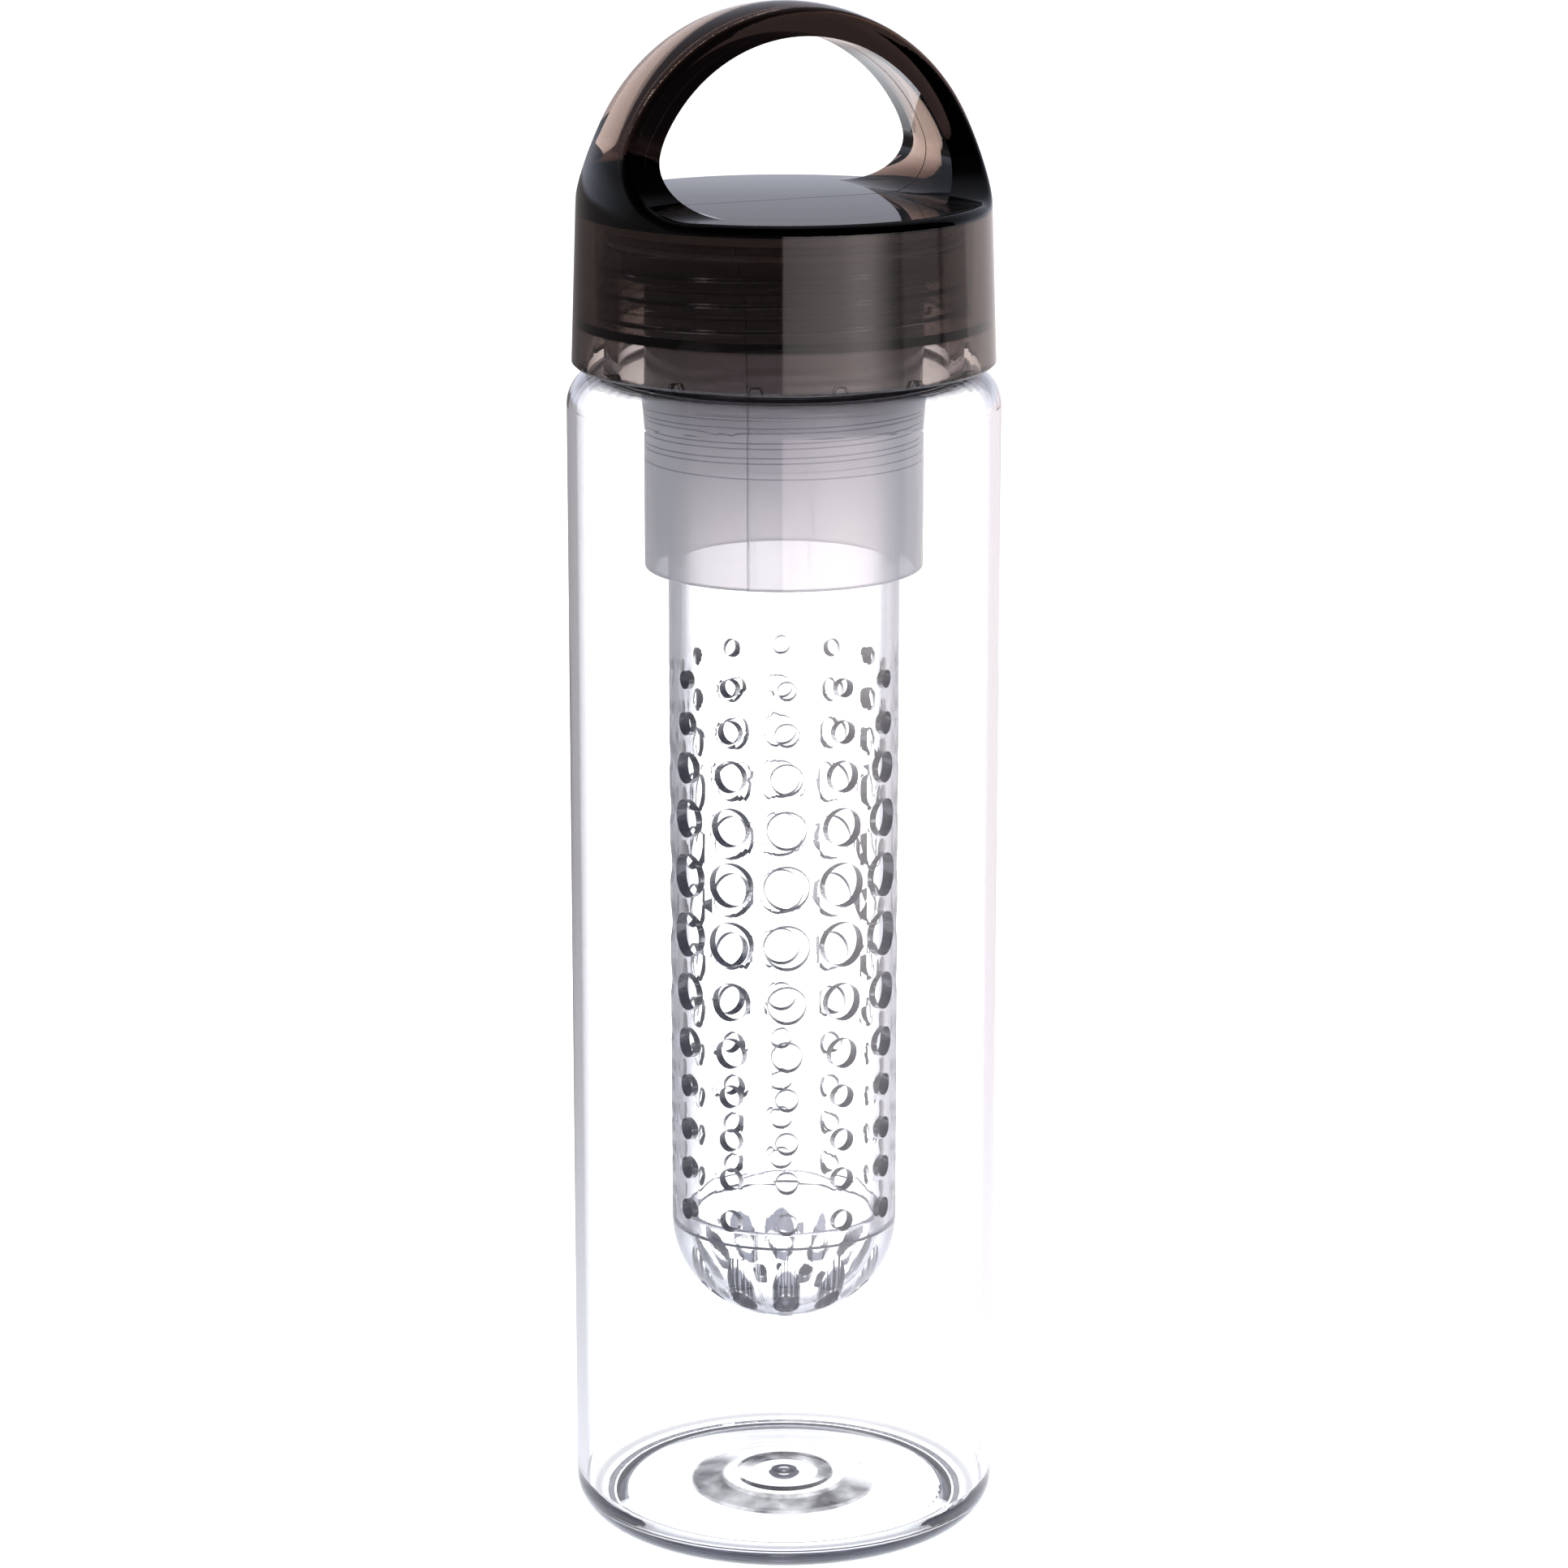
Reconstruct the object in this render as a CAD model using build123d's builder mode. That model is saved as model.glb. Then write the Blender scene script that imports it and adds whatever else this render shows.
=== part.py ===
from build123d import *

import math
import os

# Fruit infuser water bottle, in millimetres. Z is up and the origin is the centre of the base.
# The loop handle stands in the XZ plane.

# Bottle body
body_wall = 1.6
shoulder_height = 202.0
shoulder_round = 6.1
base_corner_round = 5.5
base_thickness = 1.8
standing_ring_width = 1.4
dish_edge_run = 2.0
dish_edge_height = 1.2
dish_radius = 15.8
dish_height = 2.0
centre_disc_radius = 8.3
centre_disc_height = 3.3
dish_round = 1.5
gate_radius = 2.2
gate_drop = 0.5
floor_corner_round = 3.8

# Neck, and the coarse thread that it shares with the lid
neck_height = 21.6
shoulder_width = 6.2
neck_wall = 2.3
neck_rim_round = 0.5
lid_pitch = 4.2
ridge_depth = 1.2
ridge_root_width = 1.9
ridge_crest_width = 1.0
neck_thread_start_rise = 6.94
neck_thread_end_drop = 2.9
lid_thread_end_drop = 6.26
thread_clearance = 0.3
thread_bite = 0.25

# Lid
lid_rim_gap = 0.7
lid_rim_inset = 0.9
lid_rim_chamfer = 0.5
lid_rim_wall = 2.4
lid_step_rise = 6.7
lid_draft = 0.9
lid_top_thickness = 2.2
pocket_count = 16
pocket_phase = 12.5
pocket_bottom_width = 2.5
pocket_top_width = 1.5
pocket_height = 1.3
pocket_skin = 1.0
seal_rib_height = 1.2
seal_rib_thickness = 1.2

# Loop handle: a slice of the dome that carries on from the lid's side
dome_start_drop = 0.8
handle_thickness = 5.2
handle_half_width = 7.5
handle_foot_round = 13.0
loop_corner_round = 7.0
handle_edge_round = 1.6

# Silicone rings
seal_gap = 0.1
seal_side_gap = 0.3
lid_seal_thickness = 1.4
lid_seal_edge_round = 0.4
collar_seal_thickness = 0.9
collar_seal_edge_round = 0.25

# Collar that hangs in the neck
collar_neck_gap = 4.45
collar_wall = 1.5
collar_length = 58.0
collar_lip_round = 0.5
flange_thickness = 1.5
flange_inset = 0.15
flange_round = 0.4
spigot_wall = 1.4
spigot_length = 6.0
spigot_gap = 0.4
stop_wall = 2.6
stop_round = 0.4

# Infuser tube, and the fine thread that it shares with the collar
tube_bore = 17.6
tube_wall = 1.9
tube_draft = 0.1
tube_head_step = 1.45
foot_clearance = 35.1
head_drop = 38.4
head_length = 9.2
head_stop_gap = 0.3
head_shoulder_height = 0.9
head_edge_round = 0.3
fine_pitch = 2.45
fine_ridge_depth = 0.85
fine_root_width = 1.25
fine_crest_width = 0.55
fine_clearance = 0.15
fine_thread_start_rise = 1.9
fine_thread_end_drop = 1.175

# Holes in the tube: columns all round, in rows that swell towards the middle
hole_columns = 12
hole_phase = 6.5
first_row_rise = 4.4
last_row_drop = 37.3
hole_web = 1.6
row_height_shares = [0, 0.08, 0.155, 0.238, 0.32, 0.417, 0.525, 0.636, 0.743, 0.837, 0.919, 1]
row_hole_shares = [0.474, 0.493, 0.493, 0.5, 0.671, 0.842, 1, 0.987, 0.855, 0.697, 0.513, 0.408]

# Dome end cap
cap_step = 0.08
cap_depth = 17.5
cap_floor = 2.0
plug_length = 2.4
plug_wall = 0.9
plug_gap = 0.06
plug_lead_in = 0.3
cap_ring_shares = [0.853, 0.511]
cap_hole_shares = [0.27, 0.156]

# Every cut runs this far past the face that it opens
overrun = 1.0

# Heights in the stack of pieces on the neck, and of the infuser that hangs in it
neck_top = shoulder_height + neck_height
flange_bottom = neck_top + collar_seal_thickness + 2 * seal_gap
flange_top = flange_bottom + flange_thickness
lid_ceiling = flange_top + lid_seal_thickness + 2 * seal_gap
lid_top = lid_ceiling + lid_top_thickness
lid_bottom = shoulder_height + lid_rim_gap
lid_step = lid_bottom + lid_step_rise
head_bottom = flange_top - head_drop
head_top = head_bottom + head_length
tube_seam = foot_clearance + cap_depth
first_row = tube_seam + first_row_rise
last_row = head_bottom - last_row_drop

# Radii from the tube outwards: the collar takes its head, the neck takes the collar
tube_foot_radius = tube_bore + tube_wall
tube_top_radius = tube_foot_radius + tube_draft
head_root = tube_top_radius + tube_head_step
collar_bore = head_root + fine_ridge_depth + fine_clearance
collar_radius = collar_bore + collar_wall
stop_bore = collar_radius - stop_wall
neck_bore = collar_radius + collar_neck_gap
spigot_radius = neck_bore - spigot_gap
neck_radius = neck_bore + neck_wall
flange_radius = neck_radius - flange_inset
thread_bore = neck_radius + ridge_depth + thread_clearance
body_radius = neck_radius + shoulder_width
body_bore = body_radius - body_wall
lid_rim_radius = body_radius - lid_rim_inset
lid_top_radius = lid_rim_radius - lid_draft
rim_bore = lid_rim_radius - lid_rim_wall
plug_radius = tube_bore - plug_gap
plug_bore = plug_radius - plug_wall

# Threads and holes that follow from the room there is for them
neck_thread_start = shoulder_height + neck_thread_start_rise
neck_thread_turns = (neck_top - neck_thread_end_drop - neck_thread_start) / lid_pitch
lid_thread_start = neck_thread_start + lid_pitch / 2
lid_thread_turns = (lid_ceiling - lid_thread_end_drop - lid_thread_start) / lid_pitch
fine_thread_start = head_bottom + fine_thread_start_rise
fine_thread_turns = (head_top - fine_thread_end_drop - fine_thread_start) / fine_pitch
largest_hole = 2 * math.pi * tube_bore / hole_columns - hole_web

os.makedirs("parts", exist_ok=True)


def turn(outline, mode=Mode.ADD):
    """Ring or vessel turned about the axis, from (radius, height, corner round) points."""
    with BuildSketch(Plane.XZ) as profile:
        with BuildLine():
            FilletPolyline(
                *[(radius, height) for radius, height, _ in outline],
                radius=[corner for _, _, corner in outline],
                close=True,
            )
        make_face()
    revolve(profile.sketch, axis=Axis.Z, mode=mode)


def ridge(wall_radius, start_height, pitch, turns, root_width, crest_width, depth):
    """Helical ridge on a round wall: a negative depth points it at the axis."""
    bite = math.copysign(thread_bite, depth)
    with BuildLine(Plane.XY.offset(start_height)) as path:
        Helix(pitch, pitch * turns, wall_radius)
    with BuildSketch(Plane(path.line @ 0, x_dir=(1, 0, 0), z_dir=path.line % 0)) as section:
        with BuildLine():
            Polyline(
                (-bite, -root_width / 2),
                (0, -root_width / 2),
                (depth, -crest_width / 2),
                (depth, crest_width / 2),
                (0, root_width / 2),
                (-bite, root_width / 2),
                close=True,
            )
        make_face()
    sweep(section.sketch, path=path.line, is_frenet=True)


# Clear bottle with a rounded shoulder, a threaded neck and a pushed-up base
with BuildPart() as bottle_body:
    ring_outer = body_radius - base_corner_round
    ring_inner = ring_outer - standing_ring_width
    turn([
        (0, centre_disc_height - gate_drop, 0),
        (gate_radius, centre_disc_height - gate_drop, 0),
        (gate_radius + gate_drop, centre_disc_height, 0),
        (centre_disc_radius, centre_disc_height, dish_round),
        (dish_radius, dish_height, dish_round),
        (ring_inner - dish_edge_run, dish_edge_height, dish_round),
        (ring_inner, 0, 0),
        (body_radius, 0, base_corner_round),
        (body_radius, shoulder_height, shoulder_round),
        (neck_radius, shoulder_height, 0),
        (neck_radius, neck_top, neck_rim_round),
        (neck_bore, neck_top, neck_rim_round),
        (neck_bore, shoulder_height - body_wall, body_wall),
        (body_bore, shoulder_height - body_wall, shoulder_round - body_wall),
        (body_bore, dish_edge_height + base_thickness, floor_corner_round),
        (dish_radius, dish_height + base_thickness, dish_round),
        (centre_disc_radius, centre_disc_height + base_thickness, dish_round),
        (0, centre_disc_height + base_thickness, 0),
    ])
    ridge(
        neck_radius,
        neck_thread_start,
        lid_pitch,
        neck_thread_turns,
        ridge_root_width,
        ridge_crest_width,
        ridge_depth,
    )
bottle_body.part.label = "bottle_body"
export_step(bottle_body.part, "parts/bottle_body.step")


# Small pocket inside the lid's lower rim
with BuildPart() as pocket:
    with BuildSketch(Plane.YZ.offset(rim_bore - overrun)):
        with BuildLine():
            Polyline(
                (-pocket_bottom_width / 2, lid_bottom),
                (pocket_bottom_width / 2, lid_bottom),
                (pocket_top_width / 2, lid_bottom + pocket_height),
                (-pocket_top_width / 2, lid_bottom + pocket_height),
                close=True,
            )
        make_face()
    extrude(amount=lid_rim_wall - pocket_skin + overrun)


# Smoky lid: one moulding of skirt, top and loop handle
with BuildPart() as lid:
    dome_start = lid_top - dome_start_drop
    taper = math.atan2(lid_rim_radius - lid_top_radius, dome_start - lid_bottom)
    dome_radius = lid_top_radius / math.cos(taper)
    dome_centre = dome_start - dome_radius * math.sin(taper)
    dome_top = dome_centre + dome_radius
    with BuildSketch(Plane.XZ):
        with BuildLine():
            side = Polyline(
                (0, dome_top),
                (0, lid_bottom),
                (lid_rim_radius - lid_rim_chamfer, lid_bottom),
                (lid_rim_radius, lid_bottom + lid_rim_chamfer),
                (lid_top_radius, dome_start),
            )
            RadiusArc(side @ 1, side @ 0, -dome_radius)
        make_face()
    revolve(axis=Axis.Z)

    # The dome is cut away in front and behind, with a wide round at the handle's feet
    for facing in (1, -1):
        with BuildSketch(Plane.YZ):
            with BuildLine():
                FilletPolyline(
                    (facing * handle_half_width, dome_top + overrun),
                    (facing * handle_half_width, lid_top),
                    (facing * (dome_radius + overrun), lid_top),
                    (facing * (dome_radius + overrun), dome_top + overrun),
                    radius=[0, handle_foot_round, 0, 0],
                    close=True,
                )
            make_face()
        extrude(amount=dome_radius + overrun, both=True, mode=Mode.SUBTRACT)

    # Finger loop through the handle
    loop_radius = dome_top - handle_thickness - lid_top
    with BuildSketch(Plane.XZ) as loop:
        with Locations((0, lid_top)):
            Circle(loop_radius)
            Rectangle(
                2 * loop_radius,
                loop_radius,
                align=(Align.CENTER, Align.MIN),
                mode=Mode.INTERSECT,
            )
        fillet(loop.vertices(), radius=loop_corner_round)
    extrude(amount=dome_radius + overrun, both=True, mode=Mode.SUBTRACT)

    # One soft edge runs round the top, up the feet and over the handle
    def on_dome(edge):
        middle = edge @ 0.5
        reach = (middle - Vector(0, 0, dome_centre)).length
        return middle.Z > dome_start and math.isclose(reach, dome_radius, rel_tol=0.001)

    fillet(lid.edges().filter_by(on_dome), radius=handle_edge_round)

    # Inside: wide at the rim, narrower along the thread, flat at the ceiling
    turn([
        (0, lid_bottom - overrun, 0),
        (rim_bore, lid_bottom - overrun, 0),
        (rim_bore, lid_step, 0),
        (thread_bore, lid_step + rim_bore - thread_bore, 0),
        (thread_bore, lid_ceiling, 0),
        (0, lid_ceiling, 0),
    ], mode=Mode.SUBTRACT)
    seal_inner = collar_radius + seal_side_gap + seal_rib_thickness
    turn([
        (seal_inner - seal_rib_thickness, lid_ceiling - seal_rib_height, 0),
        (seal_inner, lid_ceiling - seal_rib_height, 0),
        (seal_inner, lid_ceiling + thread_bite, 0),
        (seal_inner - seal_rib_thickness, lid_ceiling + thread_bite, 0),
    ])
    ridge(
        thread_bore,
        lid_thread_start,
        lid_pitch,
        lid_thread_turns,
        ridge_root_width,
        ridge_crest_width,
        -ridge_depth,
    )
    with PolarLocations(0, pocket_count, start_angle=pocket_phase):
        add(pocket.part, mode=Mode.SUBTRACT)
lid.part.label = "lid"
export_step(lid.part, "parts/lid.step")


# Silicone ring between the lid's ceiling and the collar's flange
with BuildPart() as lid_seal:
    ring_bottom = flange_top + seal_gap
    ring_top = ring_bottom + lid_seal_thickness
    turn([
        (seal_inner + seal_side_gap, ring_bottom, lid_seal_edge_round),
        (thread_bore - seal_side_gap, ring_bottom, lid_seal_edge_round),
        (thread_bore - seal_side_gap, ring_top, lid_seal_edge_round),
        (seal_inner + seal_side_gap, ring_top, lid_seal_edge_round),
    ])
lid_seal.part.label = "lid_seal"
export_step(lid_seal.part, "parts/lid_seal.step")


# Silicone ring between the collar's flange and the neck rim
with BuildPart() as collar_seal:
    ring_bottom = neck_top + seal_gap
    ring_top = ring_bottom + collar_seal_thickness
    turn([
        (spigot_radius + seal_side_gap, ring_bottom, collar_seal_edge_round),
        (neck_radius - seal_side_gap, ring_bottom, collar_seal_edge_round),
        (neck_radius - seal_side_gap, ring_top, collar_seal_edge_round),
        (spigot_radius + seal_side_gap, ring_top, collar_seal_edge_round),
    ])
collar_seal.part.label = "collar_seal"
export_step(collar_seal.part, "parts/collar_seal.step")


# Milky collar: flange on the rim, short skirt that centres it in the neck, and an inner thread
with BuildPart() as infuser_collar:
    collar_bottom = flange_top - collar_length
    stop_height = head_top + head_stop_gap
    spigot_bottom = flange_bottom - spigot_length
    turn([
        (collar_bore, collar_bottom, collar_lip_round),
        (collar_radius, collar_bottom, collar_lip_round),
        (collar_radius, flange_bottom, 0),
        (spigot_radius - spigot_wall, flange_bottom, 0),
        (spigot_radius - spigot_wall, spigot_bottom, 0),
        (spigot_radius, spigot_bottom, 0),
        (spigot_radius, flange_bottom, 0),
        (flange_radius, flange_bottom, flange_round),
        (flange_radius, flange_top, flange_round),
        (stop_bore, flange_top, flange_round),
        (stop_bore, stop_height, stop_round),
        (collar_bore, stop_height, 0),
    ])
    ridge(
        collar_bore,
        fine_thread_start + fine_pitch / 2,
        fine_pitch,
        fine_thread_turns,
        fine_root_width,
        fine_crest_width,
        -fine_ridge_depth,
    )
infuser_collar.part.label = "infuser_collar"
export_step(infuser_collar.part, "parts/infuser_collar.step")


# Clear infuser tube with a threaded head
with BuildPart() as infuser_tube:
    turn([
        (tube_bore, tube_seam, 0),
        (tube_foot_radius, tube_seam, 0),
        (tube_top_radius, head_bottom, 0),
        (head_root + fine_clearance, head_bottom, head_edge_round),
        (head_root + fine_clearance, head_bottom + head_shoulder_height, 0),
        (head_root, head_bottom + head_shoulder_height, 0),
        (head_root, head_top, head_edge_round),
        (tube_bore, head_top, head_edge_round),
    ])
    ridge(
        head_root,
        fine_thread_start,
        fine_pitch,
        fine_thread_turns,
        fine_root_width,
        fine_crest_width,
        fine_ridge_depth,
    )
    rows_span = last_row - first_row
    for height_share, hole_share in zip(row_height_shares, row_hole_shares):
        with Locations(Plane.XY.offset(first_row + rows_span * height_share)):
            with PolarLocations(tube_bore - overrun, hole_columns, start_angle=hole_phase):
                Cylinder(
                    largest_hole * hole_share / 2,
                    tube_top_radius - tube_bore + 2 * overrun,
                    rotation=(0, 90, 0),
                    align=(Align.CENTER, Align.CENTER, Align.MIN),
                    mode=Mode.SUBTRACT,
                )
infuser_tube.part.label = "infuser_tube"
export_step(infuser_tube.part, "parts/infuser_tube.step")


# Clear dome that plugs the tube's foot, with its holes drilled straight up
with BuildPart() as infuser_end_cap:
    cap_radius = tube_foot_radius - cap_step
    with BuildSketch(Plane.XZ) as section:
        with Locations((0, tube_seam)):
            Ellipse(cap_radius, cap_depth)
            Ellipse(plug_bore, cap_depth - cap_floor, mode=Mode.SUBTRACT)
            Rectangle(
                cap_radius,
                cap_depth,
                align=(Align.MIN, Align.MAX),
                mode=Mode.INTERSECT,
            )
        with Locations((plug_bore, tube_seam)):
            Rectangle(plug_wall, plug_length, align=(Align.MIN, Align.MIN))
        plug_tip = section.vertices().group_by(Axis.Y)[-1].sort_by(Axis.X)[-1]
        fillet(plug_tip, radius=plug_lead_in)
    revolve(axis=Axis.Z)
    for ring_share, hole_share in zip(cap_ring_shares, cap_hole_shares):
        with Locations(Plane.XY.offset(tube_seam - cap_depth - overrun)):
            with PolarLocations(plug_bore * ring_share, hole_columns, start_angle=hole_phase):
                Cylinder(
                    plug_bore * hole_share / 2,
                    cap_depth + overrun,
                    align=(Align.CENTER, Align.CENTER, Align.MIN),
                    mode=Mode.SUBTRACT,
                )
infuser_end_cap.part.label = "infuser_end_cap"
export_step(infuser_end_cap.part, "parts/infuser_end_cap.step")
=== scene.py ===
import math

import bpy
from mathutils import Euler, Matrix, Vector

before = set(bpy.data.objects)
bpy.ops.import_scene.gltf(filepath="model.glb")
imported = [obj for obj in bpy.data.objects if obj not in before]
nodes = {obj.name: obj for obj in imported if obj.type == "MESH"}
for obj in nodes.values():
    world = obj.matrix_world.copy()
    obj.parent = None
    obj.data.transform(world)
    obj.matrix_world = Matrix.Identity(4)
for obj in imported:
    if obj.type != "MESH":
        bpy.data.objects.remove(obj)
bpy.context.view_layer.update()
bpy.ops.object.select_all(action="DESELECT")


# ---- Places on the pieces where their looks change, in metres ----

# Rings about the bottle's axis: inner radius, outer radius, softness of both edges
gate_ring = (0.0009, 0.0024, 0.0002)
disc_ring = (0.0058, 0.0086, 0.0003)
dish_ring = (0.0104, 0.0165, 0.0006)
standing_ring = (0.0298, 0.0313, 0.0002)
neck_ridge_ring = (0.0304, 0.03142, 0.0001)
head_ridge_ring = (0.02126, 0.02182, 0.00005)
collar_ledge_ring = (0.02128, 0.02195, 0.00006)
lid_ridge_ring = (0.03068, 0.0317, 0.0001)
lid_bore_ring = (0.0314, 0.0322, 0.0001)

# Spans of height: lower end, upper end, softness of both ends
hole_rows = (0.0530, 0.1860, 0.0004)
lid_ridge_span = (0.2098, 0.2272, 0.0003)
head_foot_span = (0.18690, 0.18720, 0.0001)

# Threads: height where the ridge starts, its pitch, and the heights that it is drawn between
lid_thread = {"start": 0.21104, "pitch": 0.0042, "low": 0.2108, "high": 0.2222}
fine_thread = {"start": 0.190925, "pitch": 0.00245, "low": 0.1880, "high": 0.1975}

# Pockets in the lid's lower rim, turned by the phase in degrees
pocket_count = 16
pocket_phase = 12.5
pocket_radius = 0.0354
pocket_height = 0.0013
pocket_foot = 0.00125
pocket_lean = -0.385

# Single heights
lid_foot = 0.2027
lid_top = 0.230
cap_seam = 0.0526

# Turn of the infuser's mould lines about the axis, and the tint that changes nothing
infuser_mould_turn = math.radians(-129.5)
white = (1.0, 1.0, 1.0)


# ---- Node helpers ----

def new_material(name):
    """Empty node material with its output and a Principled shader."""
    material = bpy.data.materials.new(name)
    material.use_nodes = True
    tree = material.node_tree
    tree.nodes.clear()
    output = tree.nodes.new("ShaderNodeOutputMaterial")
    shader = tree.nodes.new("ShaderNodeBsdfPrincipled")
    tree.links.new(shader.outputs["BSDF"], output.inputs["Surface"])
    return material, tree, shader, output


def sum_up(tree, operation, first, second=None, third=None):
    """One Math node on sockets or numbers."""
    node = tree.nodes.new("ShaderNodeMath")
    node.operation = operation
    for socket, value in zip(node.inputs, (first, second, third)):
        if isinstance(value, bpy.types.NodeSocket):
            tree.links.new(value, socket)
        elif value is not None:
            socket.default_value = value
    return node.outputs[0]


def times(tree, first, *others):
    """Values multiplied one after another."""
    for value in others:
        first = sum_up(tree, "MULTIPLY", first, value)
    return first


def greatest(tree, first, *others):
    """The greatest of the values."""
    for value in others:
        first = sum_up(tree, "MAXIMUM", first, value)
    return first


def far_off(tree, value, place):
    """How far a value is from a place, on either side."""
    return sum_up(tree, "ABSOLUTE", sum_up(tree, "SUBTRACT", value, place))


def slant(tree, first, second):
    """Length of the slanting side over two square ones."""
    square = sum_up(tree, "ADD", times(tree, first, first), times(tree, second, second))
    return sum_up(tree, "SQRT", square)


def between(tree, value, low, high, smooth=True):
    """0 at low, 1 at high. Low may lie above high, for a look that fades upwards."""
    span = tree.nodes.new("ShaderNodeMapRange")
    span.interpolation_type = "SMOOTHSTEP" if smooth else "LINEAR"
    span.inputs["From Min"].default_value = low
    span.inputs["From Max"].default_value = high
    tree.links.new(value, span.inputs["Value"])
    return span.outputs["Result"]


def band(tree, value, low, high, soft):
    """1 between low and high, with a soft step at each end."""
    above = between(tree, value, low, low + soft)
    below = between(tree, value, high, high - soft)
    return times(tree, above, below)


def spread(tree, value, low, high):
    """Stretches the middle of a 0 to 1 pattern between two values."""
    middle_low, middle_high = 0.3, 0.7
    span = tree.nodes.new("ShaderNodeMapRange")
    span.inputs["From Min"].default_value = middle_low
    span.inputs["From Max"].default_value = middle_high
    span.inputs["To Min"].default_value = low
    span.inputs["To Max"].default_value = high
    tree.links.new(value, span.inputs["Value"])
    return span.outputs["Result"]


def blend_colours(tree, factor, first, second, blend="MIX"):
    """Mix of two colours, each a socket or a red, green, blue triple."""
    mix = tree.nodes.new("ShaderNodeMix")
    mix.data_type = "RGBA"
    mix.blend_type = blend
    for socket, value in ((mix.inputs[0], factor), (mix.inputs[6], first), (mix.inputs[7], second)):
        if isinstance(value, bpy.types.NodeSocket):
            tree.links.new(value, socket)
        elif isinstance(value, tuple):
            socket.default_value = (*value, 1)
        else:
            socket.default_value = value
    return mix.outputs[2]


def object_noise(tree, scale, detail, stretch=(1, 1, 1)):
    """Noise in the object's own metres, stretched along an axis if wanted."""
    coordinates = tree.nodes.new("ShaderNodeTexCoord")
    mapping = tree.nodes.new("ShaderNodeMapping")
    mapping.inputs["Scale"].default_value = stretch
    noise = tree.nodes.new("ShaderNodeTexNoise")
    noise.inputs["Scale"].default_value = scale
    noise.inputs["Detail"].default_value = detail
    tree.links.new(coordinates.outputs["Object"], mapping.inputs["Vector"])
    tree.links.new(mapping.outputs["Vector"], noise.inputs["Vector"])
    return noise.outputs["Fac"]


def ripple(tree, shader, height, depth):
    """Unevenness of the moulded skin, laid over what the skin already has."""
    bump = tree.nodes.new("ShaderNodeBump")
    bump.inputs["Strength"].default_value = 1.0
    bump.inputs["Distance"].default_value = depth
    tree.links.new(height, bump.inputs["Height"])
    before = shader.inputs["Normal"].links
    if before:
        tree.links.new(before[0].from_socket, bump.inputs["Normal"])
    tree.links.new(bump.outputs["Normal"], shader.inputs["Normal"])


def let_lamps_through(tree, shader, output, colour):
    """Lamps shine through the wall: rays that look for a lamp meet a tinted clear film."""
    film = tree.nodes.new("ShaderNodeBsdfTransparent")
    film.inputs["Color"].default_value = (*colour, 1)
    rays = tree.nodes.new("ShaderNodeLightPath")
    mix = tree.nodes.new("ShaderNodeMixShader")
    tree.links.new(rays.outputs["Is Shadow Ray"], mix.inputs["Fac"])
    tree.links.new(shader.outputs["BSDF"], mix.inputs[1])
    tree.links.new(film.outputs["BSDF"], mix.inputs[2])
    tree.links.new(mix.outputs["Shader"], output.inputs["Surface"])


def absorb(tree, output, per_mm):
    """Colour that deepens with thickness, from the loss of red, green and blue in 1 mm."""
    mm_in_metre, strongest = 1000, 0.9
    density = max(per_mm) * mm_in_metre / strongest
    kept = [1 - loss * mm_in_metre / density for loss in per_mm]
    inside = tree.nodes.new("ShaderNodeVolumeAbsorption")
    inside.inputs["Density"].default_value = density
    inside.inputs["Color"].default_value = (*kept, 1)
    tree.links.new(inside.outputs["Volume"], output.inputs["Volume"])


# ---- Places on a piece, as patterns ----

def object_axes(tree):
    """X, Y and Z in the object's own metres."""
    coordinates = tree.nodes.new("ShaderNodeTexCoord")
    axes = tree.nodes.new("ShaderNodeSeparateXYZ")
    tree.links.new(coordinates.outputs["Object"], axes.inputs["Vector"])
    return axes.outputs


def from_axis(tree):
    """Distance from the bottle's axis, and height."""
    x, y, z = object_axes(tree)
    return slant(tree, x, y), z


def never_zero(tree, r):
    """Distance from the axis, kept large enough to divide by."""
    return sum_up(tree, "MAXIMUM", r, 0.0001)


def on_side(tree, r, turn):
    """1 on the side that the turn about the axis points to, -1 on the far side."""
    x, y, _ = object_axes(tree)
    along = times(tree, y, math.sin(turn))
    along = sum_up(tree, "MULTIPLY_ADD", x, math.cos(turn), along)
    return sum_up(tree, "DIVIDE", along, never_zero(tree, r))


def facing_ways(tree, r):
    """How far the wall faces away from or towards the axis, 0 to 1, and how far it faces up."""
    x, y, _ = object_axes(tree)
    geometry = tree.nodes.new("ShaderNodeNewGeometry")
    normal = tree.nodes.new("ShaderNodeSeparateXYZ")
    tree.links.new(geometry.outputs["True Normal"], normal.inputs["Vector"])
    out = times(tree, normal.outputs[0], x)
    out = sum_up(tree, "MULTIPLY_ADD", normal.outputs[1], y, out)
    out = sum_up(tree, "DIVIDE", out, never_zero(tree, r))
    return sum_up(tree, "ABSOLUTE", out), normal.outputs[2]


def from_dome(tree, radius, depth):
    """1 on an oval dome that hangs from the end cap's seam, more outside it, less inside."""
    r, z = from_axis(tree)
    across = sum_up(tree, "DIVIDE", r, radius)
    down = sum_up(tree, "DIVIDE", sum_up(tree, "SUBTRACT", z, cap_seam), depth)
    return slant(tree, across, down)


def grazing(tree, start, end):
    """0 where a wall is seen square on, 1 where it is seen edge on."""
    weight = tree.nodes.new("ShaderNodeLayerWeight")
    weight.inputs["Blend"].default_value = 0.5
    return between(tree, weight.outputs["Facing"], start, end)


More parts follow.
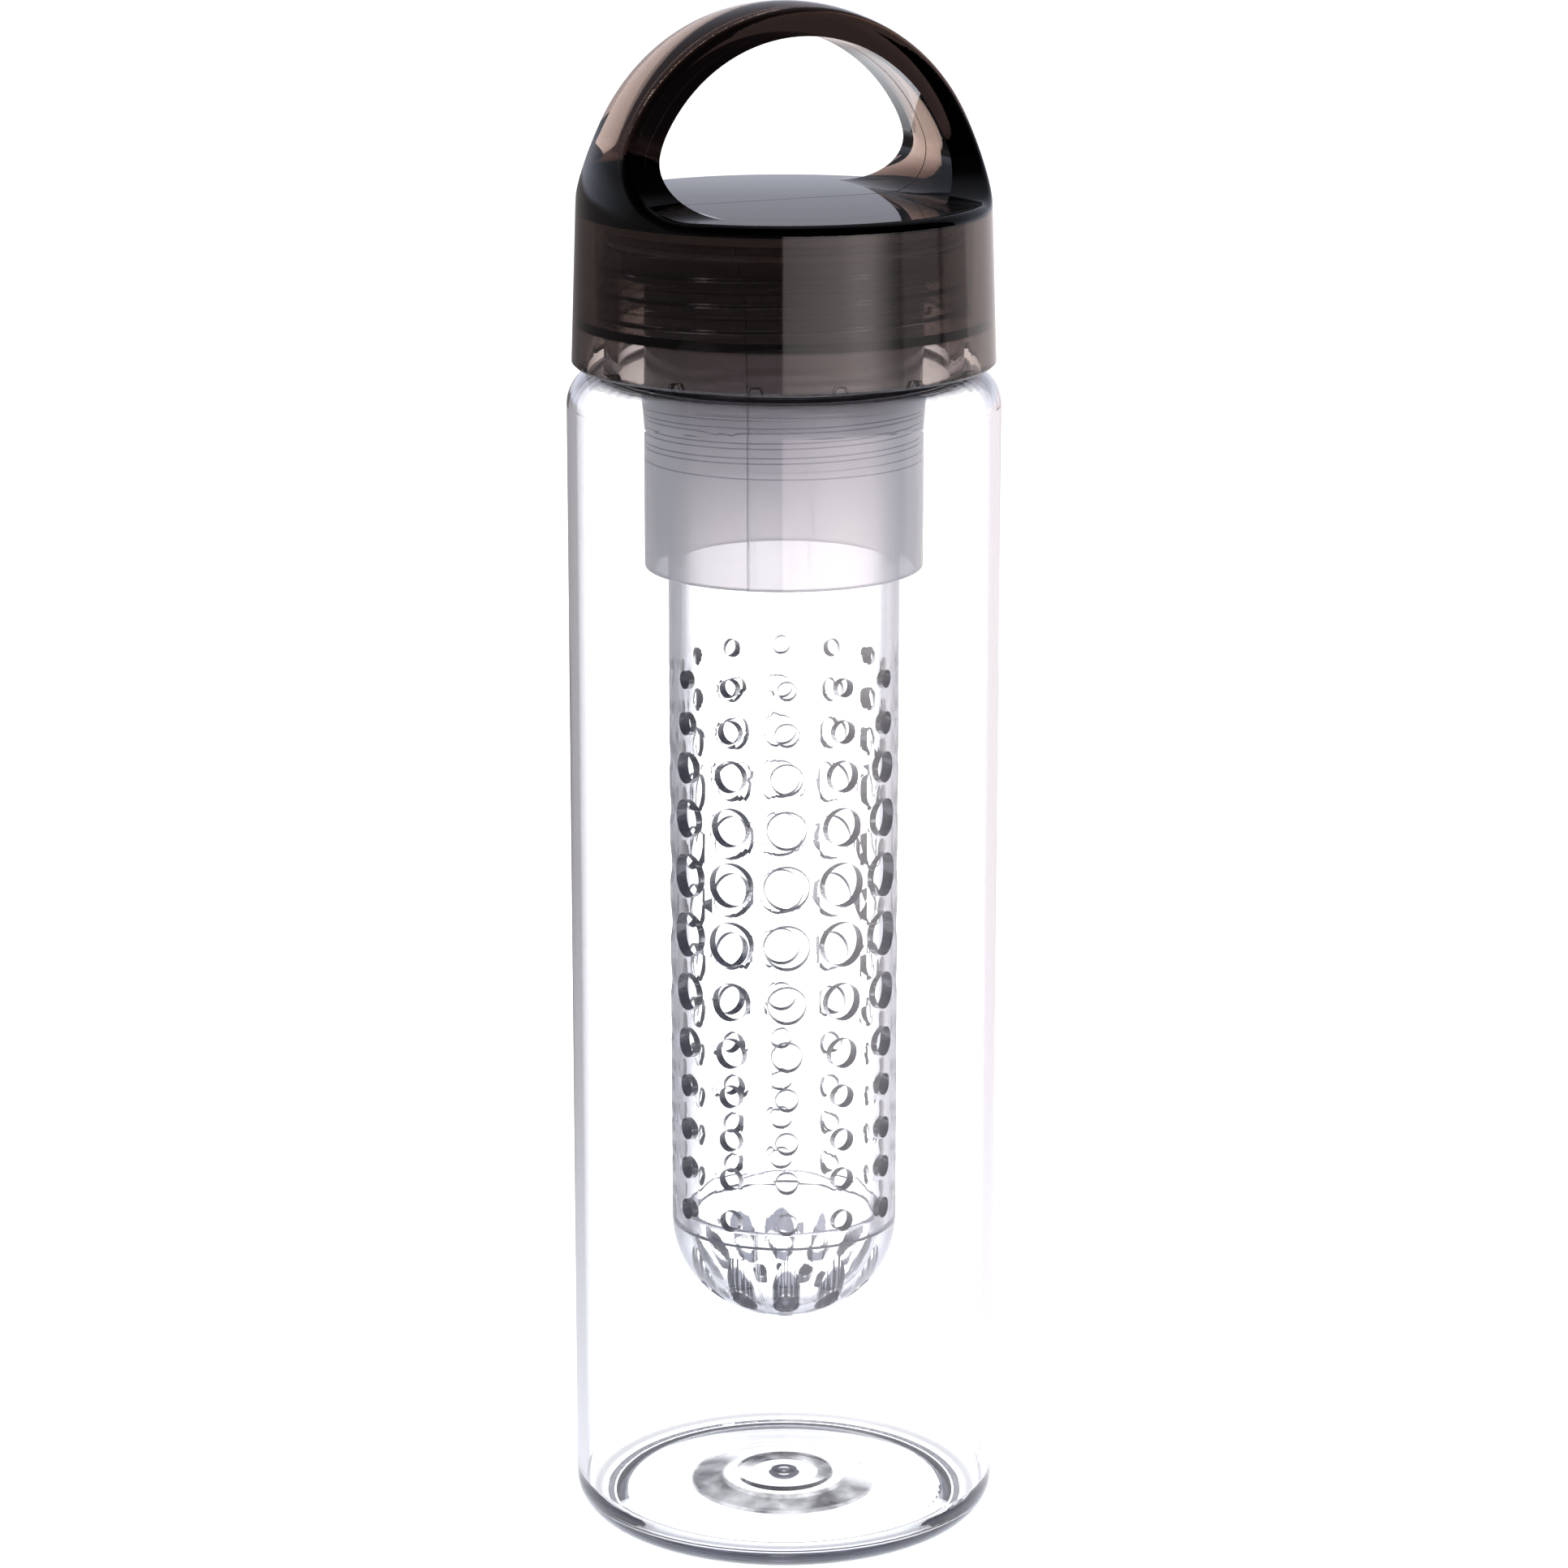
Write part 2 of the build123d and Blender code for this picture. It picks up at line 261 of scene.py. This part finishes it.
def mould_line(tree, turn, half_width):
    """1 on the hairline that the mould's two halves leave, on a plane through the axis."""
    full_share = 0.4
    x, y, _ = object_axes(tree)
    across = times(tree, y, math.cos(turn))
    across = sum_up(tree, "MULTIPLY_ADD", x, -math.sin(turn), across)
    return between(tree, sum_up(tree, "ABSOLUTE", across), half_width, half_width * full_share)


def thread_shade(tree, x, y, z, start, pitch, low, high):
    """Both flanks of a right-handed thread, as pairs of lines that climb round the wall.

    The flank is given in shares of the pitch, from the ridge's middle. Whole turns are added, so
    that places below the start count as well.
    """
    flank = {"low": 0.12, "high": 0.25, "soft": 0.04}
    whole_turns, end_soft = 20, 0.0006
    turn = times(tree, sum_up(tree, "ARCTAN2", y, x), -1 / (2 * math.pi))
    climb = sum_up(tree, "MULTIPLY_ADD", sum_up(tree, "SUBTRACT", z, start), 1 / pitch, turn)
    share = sum_up(tree, "FRACT", sum_up(tree, "ADD", climb, whole_turns + 0.5))
    lines = band(tree, far_off(tree, share, 0.5), **flank)
    return times(tree, lines, band(tree, z, low, high, end_soft))


def pocket_shade_lines(tree, x, y, z, r):
    """Fine dark outline of the pockets, painted shade for how they show through the skin of the
    lid's lower rim.
    """
    line, rim_skin = (0.00014, 0.00006), (0.0350, 0.0352)
    side_end, roof_end = (0.00138, 0.00130), (0.00082, 0.00074)
    turn = times(tree, sum_up(tree, "ARCTAN2", y, x), pocket_count / (2 * math.pi))
    first = pocket_count + 0.5 - pocket_count * pocket_phase / 360
    share = sum_up(tree, "FRACT", sum_up(tree, "ADD", turn, first))
    arc = times(tree, far_off(tree, share, 0.5), 2 * math.pi * pocket_radius / pocket_count)
    up = sum_up(tree, "SUBTRACT", z, lid_foot)
    wide = sum_up(tree, "MULTIPLY_ADD", up, pocket_lean, pocket_foot)
    side = between(tree, far_off(tree, arc, wide), *line)
    side = times(tree, side, between(tree, up, *side_end))
    roof = between(tree, far_off(tree, up, pocket_height), *line)
    roof = times(tree, roof, between(tree, arc, *roof_end))
    return times(tree, greatest(tree, side, roof), between(tree, r, *rim_skin))


def bottle_shade_places(tree):
    """Places of painted shade: the neck thread, standing ring, lower corner, gate mark, and the
    steps of the pushed-up base.
    """
    base_top, ring_top, corner_top = (0.0085, 0.0075), (0.0012, 0.0007), (0.0022, 0.0010)
    corner_start, thread_foot = (0.0320, 0.0335), (0.2075, 0.2085)
    shaded_side, dish_side, disc_side = math.radians(-140), (-0.45, 0.05), (0.35, -0.25)
    corner_share = 0.6
    r, z = from_axis(tree)
    patchy = spread(tree, object_noise(tree, 240, 4), 0.3, 1.0)
    # Painted shade in the base's dish and disc, stronger on one side and patchy
    facing = on_side(tree, r, shaded_side)
    dish = times(tree, band(tree, r, *dish_ring), between(tree, facing, *dish_side))
    disc = times(tree, band(tree, r, *disc_ring), between(tree, facing, *disc_side))
    patchy_shade = times(tree, greatest(tree, dish, disc), patchy)
    gate = band(tree, r, *gate_ring)
    standing = times(tree, band(tree, r, *standing_ring), between(tree, z, *ring_top))
    pushed_up = times(tree, greatest(tree, gate, patchy_shade), between(tree, z, *base_top))
    neck_ridge = times(tree, band(tree, r, *neck_ridge_ring), between(tree, z, *thread_foot))
    corner = times(tree, between(tree, z, *corner_top), between(tree, r, *corner_start))
    low = greatest(tree, standing, times(tree, corner, corner_share))
    return greatest(tree, pushed_up, low, neck_ridge)


def tube_hole_shade(tree):
    """Painted shade on the walls of the tube's holes, darkest where they face up, and on any ridge
    round its head.
    """
    sideways, facing_up = (0.6, 0.4), (0.1, 0.5)
    r, z = from_axis(tree)
    outward, upward = facing_ways(tree, r)
    depth = sum_up(tree, "MULTIPLY_ADD", between(tree, upward, *facing_up), 0.1, 0.9)
    holes = times(tree, between(tree, outward, *sideways), band(tree, z, *hole_rows), depth)
    return greatest(tree, holes, band(tree, r, *head_ridge_ring))


def cap_hole_shade(tree):
    """Painted shade on the walls of the dome's holes, which lie between its outer and its inner
    skin.
    """
    outer_dome, under_outer = (0.01942, 0.0175), (0.988, 0.976)
    inner_dome, over_inner = (0.01664, 0.0155), (1.015, 1.03)
    below_seam = (0.0525, 0.0522)
    under = between(tree, from_dome(tree, *outer_dome), *under_outer)
    over = between(tree, from_dome(tree, *inner_dome), *over_inner)
    _, z = from_axis(tree)
    return times(tree, under, over, between(tree, z, *below_seam))


# ---- Finishes ----

def clear_finish(name, rim, loss, shade_places, shade_colour, shade_hold, seam=None, rim_above=-1.0):
    """Clear plastic, greyer at its outline and where it is thick or cut, all of it painted shade.

    The rim is where its painted grey starts and ends, its colour, and how much light it holds back.
    """
    rim_fade, seam_tint = 0.005, (0.72, 0.73, 0.78)
    material, tree, shader, output = new_material(name)
    shader.inputs["IOR"].default_value = 1.49
    skin = object_noise(tree, 60, 2, stretch=(1, 1, 0.25))
    tree.links.new(spread(tree, skin, 0.0, 0.01), shader.inputs["Roughness"])
    ripple(tree, shader, skin, depth=0.00002)
    rim_start, rim_end, rim_shade_colour, rim_shade_hold = rim
    # Painted shade: grey at the outline, where the wall is seen edge on, and dark where the plastic
    # is thick or cut; both also hold back light that would pass through
    above = between(tree, object_axes(tree)[2], rim_above, rim_above + rim_fade)
    outline = times(tree, grazing(tree, rim_start, rim_end), above)
    thick = shade_places(tree)
    colour = blend_colours(tree, outline, white, rim_shade_colour)
    colour = blend_colours(tree, thick, colour, shade_colour)
    if seam is not None:
        line = mould_line(tree, seam, half_width=0.00016)
        colour = blend_colours(tree, line, colour, seam_tint)
        ripple(tree, shader, line, depth=0.00003)
    tree.links.new(colour, shader.inputs["Base Color"])
    held = greatest(tree, times(tree, outline, rim_shade_hold), times(tree, thick, shade_hold))
    tree.links.new(sum_up(tree, "SUBTRACT", 1.0, held), shader.inputs["Transmission Weight"])
    absorb(tree, output, loss)
    let_lamps_through(tree, shader, output, (0.88, 0.885, 0.9))
    return material


def smoky_finish():
    """Smoky plastic, lighter in the handle, denser below it, with a hairline in the loop, and
    painted shade at the skirt's outline, along its thread and pockets, and on the handle's front
    face.
    """
    step_tint, bore_tint = (0.50, 0.47, 0.46), (0.30, 0.28, 0.275)
    outline_shade_tint, line_shade_tint = (0.05, 0.05, 0.052), (0.02, 0.018, 0.018)
    face_shade_tint, hairline_tint = (0.035, 0.05, 0.075), (0.05, 0.05, 0.05)
    bore_foot, handle_foot, skirt_top = (0.2091, 0.2097), (0.228, 0.236), (0.2295, 0.2285)
    handle_front, over_top = (-0.0066, -0.0073), (0.2302, 0.2308)
    inside_loop, top_skin = (0.0281, 0.0277), (0.2294, 0.2298)
    flank_share, crown, hairline_rough = 0.8, -0.3, 0.6
    material, tree, shader, output = new_material("smoky_plastic_moulded")
    shader.inputs["Transmission Weight"].default_value = 1.0
    shader.inputs["IOR"].default_value = 1.5
    x, y, _ = object_axes(tree)
    r, z = from_axis(tree)
    skin = object_noise(tree, 50, 2)

    # Skirt and handle, with painted shade at the skirt's outline
    below = blend_colours(tree, between(tree, z, *bore_foot), step_tint, bore_tint)
    tint = blend_colours(tree, between(tree, z, *handle_foot), below, white)
    skirt = between(tree, z, *skirt_top)
    tint = blend_colours(tree, times(tree, grazing(tree, 0.4, 0.75), skirt), tint, outline_shade_tint)

    # Thread and pockets, as painted dark lines of shade
    ridge = times(tree, band(tree, r, *lid_ridge_ring), band(tree, z, *lid_ridge_span))
    flank = times(tree, thread_shade(tree, x, y, z, **lid_thread), band(tree, r, *lid_bore_ring))
    flank = times(tree, flank, flank_share)
    shade_lines = greatest(tree, ridge, flank, pocket_shade_lines(tree, x, y, z, r))
    tint = blend_colours(tree, shade_lines, tint, line_shade_tint)

    # Painted shade on the front face of the handle
    face = times(tree, between(tree, y, *handle_front), between(tree, z, *over_top))
    tint = blend_colours(tree, face, tint, face_shade_tint)

    # The top is a little crowned
    ripple(tree, shader, times(tree, r, r, crown), depth=1.0)
    ripple(tree, shader, skin, depth=0.000006)

    # Mould line across the top and up the inside of the loop
    reach = slant(tree, x, sum_up(tree, "SUBTRACT", z, lid_top))
    in_loop = times(tree, between(tree, reach, *inside_loop), between(tree, z, *top_skin))
    line = times(tree, mould_line(tree, 0, half_width=0.00022), in_loop)
    tint = blend_colours(tree, line, tint, hairline_tint)
    rough = sum_up(tree, "MULTIPLY_ADD", line, hairline_rough, spread(tree, skin, 0.0, 0.01))
    tree.links.new(rough, shader.inputs["Roughness"])
    tree.links.new(tint, shader.inputs["Base Color"])
    ripple(tree, shader, line, depth=0.0002)
    absorb(tree, output, (0.16, 0.20, 0.22))
    let_lamps_through(tree, shader, output, (0.35, 0.32, 0.30))
    return material


def milky_finish():
    """Milky plastic, with painted shade that dulls it at its outline and up in the neck, where
    little light gets in.
    """
    body_tints, neck_shade_tint = ((0.86, 0.825, 0.84), (0.93, 0.89, 0.90)), (0.62, 0.61, 0.65)
    ledge_shade_tint, outline_shade_tint = (0.04, 0.04, 0.055), (0.42, 0.42, 0.46)
    thread_shade_tint, hairline_tint = (0.42, 0.43, 0.50), (0.5, 0.5, 0.52)
    into_neck, outer_wall = (0.172, 0.198), (0.0226, 0.0229)
    clear_share, outline_shade_loss = 0.63, -0.33
    material, tree, shader, output = new_material("milky_plastic_moulded")
    shader.inputs["IOR"].default_value = 1.5
    x, y, _ = object_axes(tree)
    r, z = from_axis(tree)
    skin = object_noise(tree, 40, 2)
    colour = blend_colours(tree, skin, *body_tints)
    # Painted shade up in the neck, where the lid keeps light off
    neck_shade = blend_colours(tree, between(tree, z, *into_neck), white, neck_shade_tint)
    colour = blend_colours(tree, 1.0, colour, neck_shade, "MULTIPLY")
    # Nearly black painted shade on the collar's ledge ring
    colour = blend_colours(tree, band(tree, r, *collar_ledge_ring), colour, ledge_shade_tint)
    # Painted shade at the outline, which also lets less light through
    outline = grazing(tree, 0.12, 0.5)
    colour = blend_colours(tree, outline, colour, outline_shade_tint)

    # Fine thread and the foot of the tube's head, as painted lines of shade that stand for them
    # seen through the wall
    thread = thread_shade(tree, x, y, z, **fine_thread)
    shade = greatest(tree, thread, band(tree, z, *head_foot_span))
    shade = times(tree, shade, between(tree, r, *outer_wall))
    colour = blend_colours(tree, shade, colour, thread_shade_tint, "MULTIPLY")

    line = mould_line(tree, infuser_mould_turn, half_width=0.0002)
    colour = blend_colours(tree, line, colour, hairline_tint, "MULTIPLY")
    tree.links.new(colour, shader.inputs["Base Color"])
    clear = sum_up(tree, "MULTIPLY_ADD", outline, outline_shade_loss, clear_share)
    tree.links.new(clear, shader.inputs["Transmission Weight"])
    tree.links.new(spread(tree, skin, 0.004, 0.014), shader.inputs["Roughness"])
    ripple(tree, shader, skin, depth=0.00002)
    ripple(tree, shader, line, depth=0.00005)
    absorb(tree, output, (0.050, 0.052, 0.045))
    let_lamps_through(tree, shader, output, (0.7, 0.7, 0.71))
    return material


def silicone_finish():
    """Soft, matt, half-clear silicone."""
    material, tree, shader, output = new_material("soft_silicone")
    shader.inputs["Transmission Weight"].default_value = 0.35
    shader.inputs["IOR"].default_value = 1.42
    skin = object_noise(tree, 400, 4)
    colour = blend_colours(tree, skin, (0.80, 0.80, 0.81), (0.88, 0.88, 0.88))
    tree.links.new(colour, shader.inputs["Base Color"])
    tree.links.new(spread(tree, skin, 0.35, 0.5), shader.inputs["Roughness"])
    ripple(tree, shader, skin, depth=0.00002)
    let_lamps_through(tree, shader, output, (0.7, 0.7, 0.7))
    return material


def dress(node, material):
    """Gives a CAD node its finish."""
    mesh = nodes[node].data
    mesh.materials.clear()
    mesh.materials.append(material)


infuser_plastic = {
    "rim": (0.44, 0.74, (0.48, 0.49, 0.56), 0.35),
    "loss": (0.026, 0.025, 0.020),
    "seam": infuser_mould_turn,
}
dress("bottle_body", clear_finish(
    "clear_plastic_polished",
    rim=(0.58, 0.78, (0.72, 0.73, 0.80), 0.05),
    loss=(0.020, 0.019, 0.014),
    # Nearly black painted shade where the bottle's plastic is thick
    shade_places=bottle_shade_places,
    shade_colour=(0.006, 0.0065, 0.012),
    shade_hold=0.35,
    rim_above=0.0055,
))
dress("infuser_tube", clear_finish(
    "infuser_plastic_polished",
    # Blue-grey painted shade on the walls of the tube's holes
    shade_places=tube_hole_shade,
    shade_colour=(0.06, 0.064, 0.09),
    shade_hold=0.45,
    **infuser_plastic,
))
dress("infuser_end_cap", clear_finish(
    "infuser_cap_polished",
    # Blue-grey painted shade on the walls of the end cap's holes
    shade_places=cap_hole_shade,
    shade_colour=(0.10, 0.105, 0.145),
    shade_hold=0.35,
    **infuser_plastic,
))
dress("lid", smoky_finish())
dress("infuser_collar", milky_finish())
silicone = silicone_finish()
dress("lid_seal", silicone)
dress("collar_seal", silicone)


# ---- Stage ----

view_turn = math.radians(-25)
view_tilt = math.radians(14)
ahead = Vector((-math.sin(view_turn), math.cos(view_turn), 0))
aside = Vector((ahead.y, -ahead.x, 0))


def white_floor():
    """White floor with the bottle's shadow. Light mirrored in the plastic passes through it."""
    seen_glow, glow_through_plastic = 0.55, 0.64
    bpy.ops.mesh.primitive_plane_add(size=16, location=(0, 0, 0))
    floor = bpy.context.object
    floor.name = "floor"
    material = bpy.data.materials.new("floor_white")
    material.use_nodes = True
    tree = material.node_tree
    tree.nodes.clear()
    output = tree.nodes.new("ShaderNodeOutputMaterial")
    paint = tree.nodes.new("ShaderNodeBsdfDiffuse")
    paint.inputs["Color"].default_value = (0.8, 0.8, 0.8, 1)
    glow = tree.nodes.new("ShaderNodeEmission")
    rays = tree.nodes.new("ShaderNodeLightPath")
    both = tree.nodes.new("ShaderNodeAddShader")
    seen = greatest(tree, rays.outputs["Is Camera Ray"], rays.outputs["Is Glossy Ray"])
    level = times(tree, seen, seen_glow)
    refracted = rays.outputs["Is Transmission Ray"]
    level = sum_up(tree, "MULTIPLY_ADD", refracted, glow_through_plastic, level)
    tree.links.new(level, glow.inputs["Strength"])
    tree.links.new(paint.outputs[0], both.inputs[0])
    tree.links.new(glow.outputs[0], both.inputs[1])
    mirrored = sum_up(tree, "MINIMUM", rays.outputs["Glossy Depth"], 1.0)
    clear = tree.nodes.new("ShaderNodeBsdfTransparent")
    pick = tree.nodes.new("ShaderNodeMixShader")
    tree.links.new(times(tree, mirrored, refracted), pick.inputs["Fac"])
    tree.links.new(both.outputs[0], pick.inputs[1])
    tree.links.new(clear.outputs[0], pick.inputs[2])
    tree.links.new(pick.outputs[0], output.inputs["Surface"])
    floor.data.materials.append(material)
    floor.visible_glossy = False


def studio():
    """White backdrop to the eye and through clear walls. Reflections show lamps and a dark side."""
    lamp_light, table_light = (2.75, 2.5, 2.5), (1.5, 1.55, 1.65)
    plain_light, through_light, mirrored_share = (0.75, 0.75, 0.75), (1.14, 1.14, 1.14), 0.6
    world = bpy.context.scene.world or bpy.data.worlds.new("studio")
    bpy.context.scene.world = world
    world.use_nodes = True
    tree = world.node_tree
    tree.nodes.clear()
    output = tree.nodes.new("ShaderNodeOutputWorld")
    direction = tree.nodes.new("ShaderNodeTexCoord").outputs["Generated"]

    def along(axis):
        """How far a ray points along an axis, -1 to 1."""
        dot = tree.nodes.new("ShaderNodeVectorMath")
        dot.operation = "DOT_PRODUCT"
        dot.inputs[1].default_value = axis
        tree.links.new(direction, dot.inputs[0])
        return dot.outputs["Value"]

    def ramp(value, low, high, stops):
        """Colours or greys at places between low and high."""
        colours = tree.nodes.new("ShaderNodeValToRGB")
        elements = colours.color_ramp.elements
        while len(elements) > 1:
            elements.remove(elements[-1])
        for i, (place, colour) in enumerate(stops):
            share = (place - low) / (high - low)
            element = elements[0] if i == 0 else elements.new(share)
            element.position = share
            element.color = (*colour, 1) if isinstance(colour, tuple) else (colour,) * 3 + (1,)
        share_of_span = between(tree, value, low, high, smooth=False)
        tree.links.new(share_of_span, colours.inputs["Fac"])
        return colours.outputs["Color"]

    turn = sum_up(tree, "ARCTAN2", along(tuple(aside)), along(tuple(-ahead)))
    degrees = sum_up(tree, "DEGREES", turn)
    rise = along((0, 0, 1))

    # Round the horizon as a reflection sees it, in degrees from the bottle's front, and its light
    low_ring = ramp(degrees, -180, 180, [
        (-180, 0.38), (-172, 0.1), (-130, 0.05), (-70, 0.04), (-40, 0.03), (-1, 0.02), (0, 0.45),
        (30, 0.75), (40, 1.0), (48, 0.95), (60, 0.35), (66, 0.15), (68, 0.3), (92, 0.22),
        (94, 0.05), (98, 0.2), (117, 0.25), (119, 0.4), (128, 0.4), (170, 0.38), (180, 0.36),
    ])
    high_ring = ramp(degrees, -180, 180, [
        (-180, (0.84, 0.87, 1.0)), (-130, (0.45, 0.48, 0.58)), (-90, 0.12), (-40, 0.03),
        (40, 0.03), (90, 0.10), (130, (0.62, 0.65, 0.76)), (180, (0.84, 0.87, 1.0)),
    ])

    # From straight down, -1, to straight up, 1
    lifted = ramp(rise, -1, 1, [(-1, 0.0), (-0.06, 0.0), (-0.035, 1.0), (1, 1.0)])
    climb = ramp(rise, -1, 1, [
        (-1, 1.0), (0.04, 1.0), (0.1, 0.74), (0.13, 0.57), (0.17, 0.52), (0.25, 0.48),
        (0.6, 0.2), (1, 0.2),
    ])
    table = ramp(rise, -1, 1, [
        (-1, 1.0), (-0.46, 1.0), (-0.375, 0.65), (-0.30, 0.12), (-0.26, 0.0), (1, 0.0),
    ])
    through = ramp(rise, -1, 1, [
        (-1, 1.0), (0.0, 1.0), (0.1, 0.7), (0.22, (0.3, 0.31, 0.35)), (0.5, (0.12, 0.13, 0.16)),
        (1, 0.1),
    ])

    bright = blend_colours(tree, 1.0, low_ring, lamp_light, "MULTIPLY")
    shiny = blend_colours(tree, lifted, bright, high_ring)
    shiny = blend_colours(tree, 1.0, shiny, climb, "MULTIPLY")
    shiny = blend_colours(tree, table, shiny, table_light)
    through = blend_colours(tree, 1.0, through, through_light, "MULTIPLY")

    rays = tree.nodes.new("ShaderNodeLightPath")
    colour = blend_colours(tree, rays.outputs["Is Glossy Ray"], plain_light, shiny)
    mirrored = sum_up(tree, "MINIMUM", rays.outputs["Glossy Depth"], 1.0)
    through = blend_colours(tree, times(tree, mirrored, mirrored_share), through, shiny)
    colour = blend_colours(tree, rays.outputs["Is Transmission Ray"], colour, through)
    colour = blend_colours(tree, rays.outputs["Is Camera Ray"], colour, white)
    sky = tree.nodes.new("ShaderNodeBackground")
    tree.links.new(colour, sky.inputs["Color"])
    tree.links.new(sky.outputs[0], output.inputs["Surface"])


def dark_flag():
    """Black card, seen in reflections alone, that keeps bright light off the handle's face."""
    aim = Vector((0.426, -0.905, 0))
    distance, height = 0.062, 0.2512
    bpy.ops.mesh.primitive_plane_add(size=1, location=aim * distance + Vector((0, 0, height)))
    card = bpy.context.object
    card.name = "dark_flag"
    card.scale = (0.09, 0.05, 1)
    card.rotation_euler = (-aim).to_track_quat("Z", "Y").to_euler()
    material, _, shader, _ = new_material("flag_black")
    shader.inputs["Base Color"].default_value = (0.004, 0.004, 0.005, 1)
    shader.inputs["Specular IOR Level"].default_value = 0.0
    card.data.materials.append(material)
    card.visible_camera = False
    card.visible_diffuse = False
    card.visible_transmission = False
    card.visible_volume_scatter = False
    card.visible_shadow = False


def soft_lamp(name, turn, rise, size, watts, distance=1.2):
    """Soft square lamp, turned round the bottle from its front and aimed at its middle."""
    turn, rise = math.radians(turn), math.radians(rise)
    target = Vector((0, 0, 0.13))
    spot = (-ahead * math.cos(turn) + aside * math.sin(turn)) * math.cos(rise)
    spot = target + (spot + Vector((0, 0, math.sin(rise)))) * distance
    bpy.ops.object.light_add(type="AREA", location=spot)
    lamp = bpy.context.object
    lamp.name = name
    lamp.data.shape = "SQUARE"
    lamp.data.size = size
    lamp.data.energy = watts
    lamp.rotation_euler = (target - spot).to_track_quat("-Z", "Y").to_euler()
    lamp.visible_camera = False
    lamp.visible_glossy = False
    lamp.visible_transmission = False


def front_camera():
    """Camera at the photograph's viewing angle, looking down a little."""
    distance, height = 0.835, 0.338
    bpy.ops.object.camera_add()
    camera = bpy.context.object
    camera.name = "camera"
    camera.data.lens = 115.53
    camera.data.sensor_width = 36
    camera.data.clip_end = 50
    camera.location = -ahead * distance + Vector((0, 0, height))
    camera.rotation_euler = Euler((math.radians(90) - view_tilt, 0, view_turn), "XYZ")
    bpy.context.scene.camera = camera


white_floor()
studio()
dark_flag()
soft_lamp("lamp_right", turn=45, rise=35, size=0.8, watts=9)
soft_lamp("lamp_left", turn=-60, rise=40, size=0.8, watts=5)
soft_lamp("lamp_back", turn=180, rise=50, size=1.0, watts=7)
front_camera()

scene = bpy.context.scene
scene.view_settings.view_transform = "Standard"
scene.cycles.max_bounces = 32
scene.cycles.transmission_bounces = 32
scene.cycles.glossy_bounces = 8
scene.cycles.diffuse_bounces = 3
scene.cycles.transparent_max_bounces = 32
